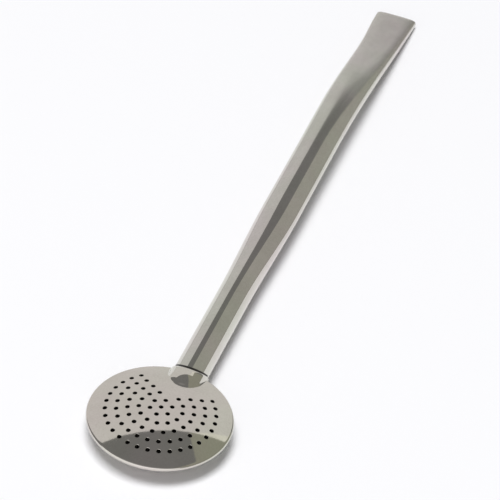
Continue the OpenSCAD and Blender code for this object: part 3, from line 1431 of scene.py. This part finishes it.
@dataclass(frozen=True)
class SteelFinish:
    """Polished steel with fine lines from its polishing and faint handling marks, and painted shade inside.
    """

    name: str
    bright: Colour
    dull: Colour
    smooth: float
    rough: float
    stretch: tuple[float, float, float]
    bump: float
    bump_depth: float = 0.1
    satin: float = 0.0
    satin_start: float = 0.0
    satin_end: float = 1.0
    # Dark colour painted as shade on the inner faces, the hole walls and the collar's gap line.
    inner: Colour = (0.09, 0.085, 0.08)
    inner_roughness: float = 0.55

    def material(self, line: CollarGapShade | None = None) -> bpy.types.Material:
        """Builds the material, which is dull and dark inside the sheet and its holes as painted shade.

        Args:
            line: painted shadow of the gap at a joint, as a dark line, if the piece has one.

        Returns:
            The material.
        """
        material = bpy.data.materials.new(self.name)
        material.use_nodes = True
        wires = Wires(material.node_tree)
        shader = wires.nodes["Principled BSDF"]
        shader.inputs["Metallic"].default_value = 1.0
        place = wires.node("ShaderNodeTexCoord").outputs["Object"]
        wear = wires.node(
            "ShaderNodeGroup",
            node_tree=PolishWear().group(),
            Place=place,
            Stretch=self.stretch,
            Bright=(*self.bright, 1.0),
            Dull=(*self.dull, 1.0),
            Smooth=self.smooth,
            Rough=self.rough,
        ).outputs
        # Painted shade: the inner faces and the hole walls take the dark inner colour.
        face = wires.node("ShaderNodeAttribute", attribute_name="inner").outputs["Fac"]
        wall = wires.node("ShaderNodeAttribute", attribute_name="hole").outputs["Fac"]
        inside = wires.math("MAXIMUM", face, wall)
        if line:
            # The gap at the collar's mouth gets painted shade, in the dark inner colour.
            gap_shade = wires.node("ShaderNodeGroup", node_tree=line.group(), Place=place, **line.socket_values())
            inside = wires.math("MAXIMUM", inside, gap_shade.outputs["Mask"])
        tone = wires.mix(MixKind.COLOUR, inside, wear["Colour"], (*self.inner, 1.0))
        wires.join(tone, shader.inputs["Base Color"])
        along = wires.node("ShaderNodeSeparateXYZ", Vector=place).outputs["X"]
        worn = wires.rise(along, (self.satin_start * MM, self.satin_end * MM, self.satin))
        polish = wires.math("ADD", wear["Roughness"], worn)
        rough = wires.mix(MixKind.VALUE, inside, polish, self.inner_roughness)
        wires.join(rough, shader.inputs["Roughness"])
        bump = wires.node(
            "ShaderNodeBump",
            Height=wear["Height"],
            Strength=self.bump,
            Distance=self.bump_depth * MM,
        )
        wires.join(bump.outputs[0], shader.inputs["Normal"])
        return material


HEAD_POLISH = SteelFinish(
    name="head_polish",
    bright=(0.69, 0.67, 0.63),
    dull=(0.58, 0.56, 0.52),
    smooth=0.035,
    rough=0.075,
    stretch=(500.0, 500.0, 500.0),
    bump=0.07,
)
STEM_POLISH = SteelFinish(
    name="stem_polish",
    bright=(0.69, 0.67, 0.635),
    dull=(0.57, 0.55, 0.515),
    smooth=0.035,
    rough=0.075,
    stretch=(25.0, 900.0, 900.0),
    bump=0.045,
    satin=0.2,
    satin_start=0.0,
    satin_end=75.0,
)


def hang_lamp(name: str, size: tuple[float, float], power: float, place: Matrix) -> bpy.types.Object:
    """Hangs a flat lamp, which shines down its own axis.

    Args:
        name: name of the lamp.
        size: its width and its height in millimetres.
        power: its power in watts.
        place: its place and turn in metres.

    Returns:
        The lamp.
    """
    data = bpy.data.lights.new(name, "AREA")
    data.shape = "RECTANGLE"
    data.size = size[0] * MM
    data.size_y = size[1] * MM
    data.energy = power
    lamp = bpy.data.objects.new(name, data)
    lamp.matrix_world = place
    bpy.context.scene.collection.objects.link(lamp)
    return lamp


@dataclass(frozen=True)
class SoftBox:
    """Large flat lamp far off, which shows in the polish of the pieces that it is meant for.

    It stands square to a direction from the head. Its spans are measured in its plane, along a
    second direction and upward across that one, as shares of its distance.
    """

    name: str
    way: tuple[float, float, float]
    along: tuple[float, float, float]
    span: tuple[float, float]
    rise: tuple[float, float]
    level: float
    tint: Colour = (1.0, 1.0, 1.0)
    distance: float = 3000.0

    @classmethod
    def beside(
        cls,
        name: str,
        start: float,
        end: float,
        level: float,
        tint: Colour = (1.0, 1.0, 1.0),
        turn: float = 6.0,
        span: tuple[float, float] = (0.15, 4.5),
    ) -> SoftBox:
        """Box along the stem between two angles from the vertical, which grow to the right.

        Args:
            name: name of the box.
            start: angle of its left edge.
            end: angle of its right edge.
            level: its brightness.
            tint: its colour.
            turn: angle between the box and the frame's X.
            span: where it starts and ends along the stem.

        Returns:
            The box.
        """
        middle = math.radians((start + end) / 2)
        half = math.tan(math.radians((end - start) / 2))
        a = math.radians(turn)
        way = (-math.sin(a) * math.sin(middle), -math.cos(a) * math.sin(middle), math.cos(middle))
        return cls(name, way, (math.cos(a), -math.sin(a), 0.0), span, (-half, half), level, tint)

    def lamp(self, middle: np.ndarray, pieces: bpy.types.Collection) -> bpy.types.Object:
        """Hangs the box.

        Args:
            middle: the head's middle in millimetres.
            pieces: what the box lights.

        Returns:
            The lamp.
        """
        way = unit(np.array(self.way))
        along = unit(np.array(self.along) - way * (way @ np.array(self.along)))
        across = np.cross(way, along)
        width = (self.span[1] - self.span[0]) * self.distance
        height = (self.rise[1] - self.rise[0]) * self.distance
        spot = way + along * sum(self.span) / 2 + across * sum(self.rise) / 2
        turn = Matrix(np.stack([along, across, way], axis=1).tolist()).to_4x4()
        place = Matrix.Translation(Vector((middle + spot * self.distance) * MM)) @ turn
        power = WATTS_PER_LEVEL * self.level * width * height * MM**2
        lamp = hang_lamp(self.name, (width, height), power, place)
        lamp.data.color = self.tint
        lamp.light_linking.receiver_collection = pieces
        return lamp


STEM_BOXES = (
    SoftBox.beside("stem_left_box", start=-95.0, end=-32.0, level=0.37),
    SoftBox.beside("stem_right_box", start=0.5, end=92.0, level=0.17, tint=(1.0, 1.0, 0.85)),
    SoftBox(
        name="stem_end_box",
        way=(0.99, -0.1, 0.0),
        along=(0.1, 0.99, 0.0),
        span=(0.02, 0.24),
        rise=(0.03, 0.57),
        level=0.14,
    ),
)
HEAD_BOXES = (
    SoftBox(
        name="head_box",
        way=(0.82, 0.39, 0.42),
        along=(0.47, -0.88, -0.1),
        span=(-1.1, 0.9),
        rise=(-0.72, 0.9),
        level=0.43,
        tint=(1.0, 0.97, 0.96),
    ),
    SoftBox(
        name="head_side_box",
        way=(0.3, -0.5, 0.81),
        along=(0.86, 0.51, 0.0),
        span=(-2.0, 0.52),
        rise=(-2.0, 0.245),
        level=0.105,
        tint=(1.0, 1.0, 0.6),
    ),
    SoftBox(
        name="rim_box",
        way=(-0.95, 0.1, 0.3),
        along=(0.1, 0.95, 0.0),
        span=(-1.5, 1.5),
        rise=(-0.15, 0.75),
        level=0.65,
    ),
)


@dataclass(frozen=True)
class Studio:
    """Floor, light and camera of the photograph, in the frame's places.

    The eye and the aim are measured from the middle of the rim, and the lamp's place from the
    frame's origin.
    """

    layout: Layout
    head: HeadSizes
    eye: tuple[float, float, float] = (-396.871, -120.934, 394.847)
    aim: tuple[float, float, float] = (20.067, -10.730, 38.911)
    roll: float = 7.319
    lens: float = 180.0
    sensor: float = 36.0
    nearest: float = 10.0
    floor_half: float = 6000.0
    floor_tone: Colour = (0.965, 0.965, 0.985)
    floor_roughness: float = 0.9
    lamp_from: tuple[float, float, float] = (-400.0, 200.0, 3000.0)
    lamp_size: tuple[float, float] = (1200.0, 1700.0)
    lamp_power: float = 76.0
    room: float = 0.22
    behind: Ramp = (-0.45, -0.85, 0.33)

    @property
    def middle(self) -> np.ndarray:
        """Middle of the head at the height of its rim."""
        return self.head.middle(self.layout)

    def camera(self) -> bpy.types.Object:
        """Places the camera of the photograph.

        Returns:
            The camera.
        """
        data = bpy.data.cameras.new("camera")
        data.lens = self.lens
        data.sensor_width = self.sensor
        data.clip_start = self.nearest * MM
        obj = bpy.data.objects.new("camera", data)
        bpy.context.scene.collection.objects.link(obj)
        eye = Vector((self.middle + self.eye) * MM)
        aim = Vector((self.middle + self.aim) * MM)
        turn = (aim - eye).to_track_quat("-Z", "Y").to_matrix().to_4x4()
        obj.matrix_world = Matrix.Translation(eye) @ turn @ Matrix.Rotation(math.radians(self.roll), 4, "Z")
        bpy.context.scene.camera = obj
        return obj

    def floor(self) -> bpy.types.Object:
        """Lays the white floor.

        Returns:
            The floor.
        """
        half = self.floor_half * MM
        corners = [(-half, -half, 0.0), (half, -half, 0.0), (half, half, 0.0), (-half, half, 0.0)]
        mesh = bpy.data.meshes.new("floor")
        mesh.from_pydata(corners, [], [(0, 1, 2, 3)])
        material = bpy.data.materials.new("floor_white")
        material.use_nodes = True
        shader = material.node_tree.nodes["Principled BSDF"]
        shader.inputs["Base Color"].default_value = (*self.floor_tone, 1.0)
        shader.inputs["Roughness"].default_value = self.floor_roughness
        mesh.materials.append(material)
        return add_object("floor", mesh)

    def light_room(self) -> None:
        """Lights the room evenly, and more behind the camera."""
        world = bpy.data.worlds.new("studio")
        bpy.context.scene.world = world
        world.use_nodes = True
        wires = Wires(world.node_tree)
        background = wires.nodes["Background"].inputs
        background["Color"].default_value = (1.0, 1.0, 1.0, 1.0)
        way = wires.node("ShaderNodeTexCoord").outputs["Generated"]
        ahead = wires.node("ShaderNodeSeparateXYZ", Vector=way).outputs["X"]
        level = wires.math("ADD", wires.rise(ahead, self.behind), self.room)
        wires.join(level, background["Strength"])

    def light_table(self) -> bpy.types.Object:
        """Hangs the lamp over the table, which the polish doesn't show.

        Returns:
            The lamp.
        """
        spot = Vector(self.lamp_from)
        turn = spot.to_track_quat("Z", "Y").to_matrix().to_4x4()
        lamp = hang_lamp("lamp", self.lamp_size, self.lamp_power, Matrix.Translation(spot * MM) @ turn)
        lamp.visible_glossy = False
        return lamp

    def light_pieces(self, name: str, pieces: list[bpy.types.Object], boxes: tuple[SoftBox, ...]) -> None:
        """Hangs the soft boxes of some pieces.

        Args:
            name: name of the collection of the pieces.
            pieces: the pieces that the boxes light.
            boxes: the boxes.
        """
        group = bpy.data.collections.new(name)
        for piece in pieces:
            group.objects.link(piece)
        for box in boxes:
            box.lamp(self.middle, group)


def add_object(name: str, mesh: bpy.types.Mesh) -> bpy.types.Object:
    """Puts a mesh into the scene.

    Args:
        name: name of the object.
        mesh: its mesh.

    Returns:
        The object.
    """
    obj = bpy.data.objects.new(name, mesh)
    bpy.context.scene.collection.objects.link(obj)
    return obj


def main() -> None:
    """Builds the pieces in order, dresses them and sets up the studio."""
    logging.basicConfig(level=logging.INFO, format="%(name)s: %(message)s")
    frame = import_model()
    layout = Layout.of(frame)
    head = HeadSizes()
    head_steel = HEAD_POLISH.material()
    # The stem's finish paints shade along the gap at the collar's mouth.
    stem_steel = STEM_POLISH.material(CollarGapShade(layout, head))

    front_shell = PressedShell(head, layout, Side.FRONT, DomeProfile(head))
    back_shell = PressedShell(head, layout, Side.BACK, BowlProfile(head))
    front = front_shell.piece("front_sheet", head_steel, Strainer())
    back = back_shell.piece("back_sheet", head_steel)
    stem = Stem(StemSizes(), head, layout).piece("stem_skin", stem_steel)
    for obj, body, slot, node in (
        (front, "head", "head_steel", "front_shell"),
        (back, "head", "head_steel", "back_shell"),
        (stem, "stem", "stem_steel", "stem_tube"),
    ):
        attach(obj, body)
        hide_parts(node)
        LOG.info("%s: %d faces", obj.name, len(obj.data.polygons))

    studio = Studio(layout, head)
    studio.floor()
    studio.light_room()
    studio.light_table()
    studio.light_pieces("head_lit", [front, back], HEAD_BOXES)
    studio.light_pieces("stem_lit", [stem], STEM_BOXES)
    studio.camera()
    bpy.context.scene.view_settings.view_transform = "Standard"


if __name__ == "__main__":
    main()
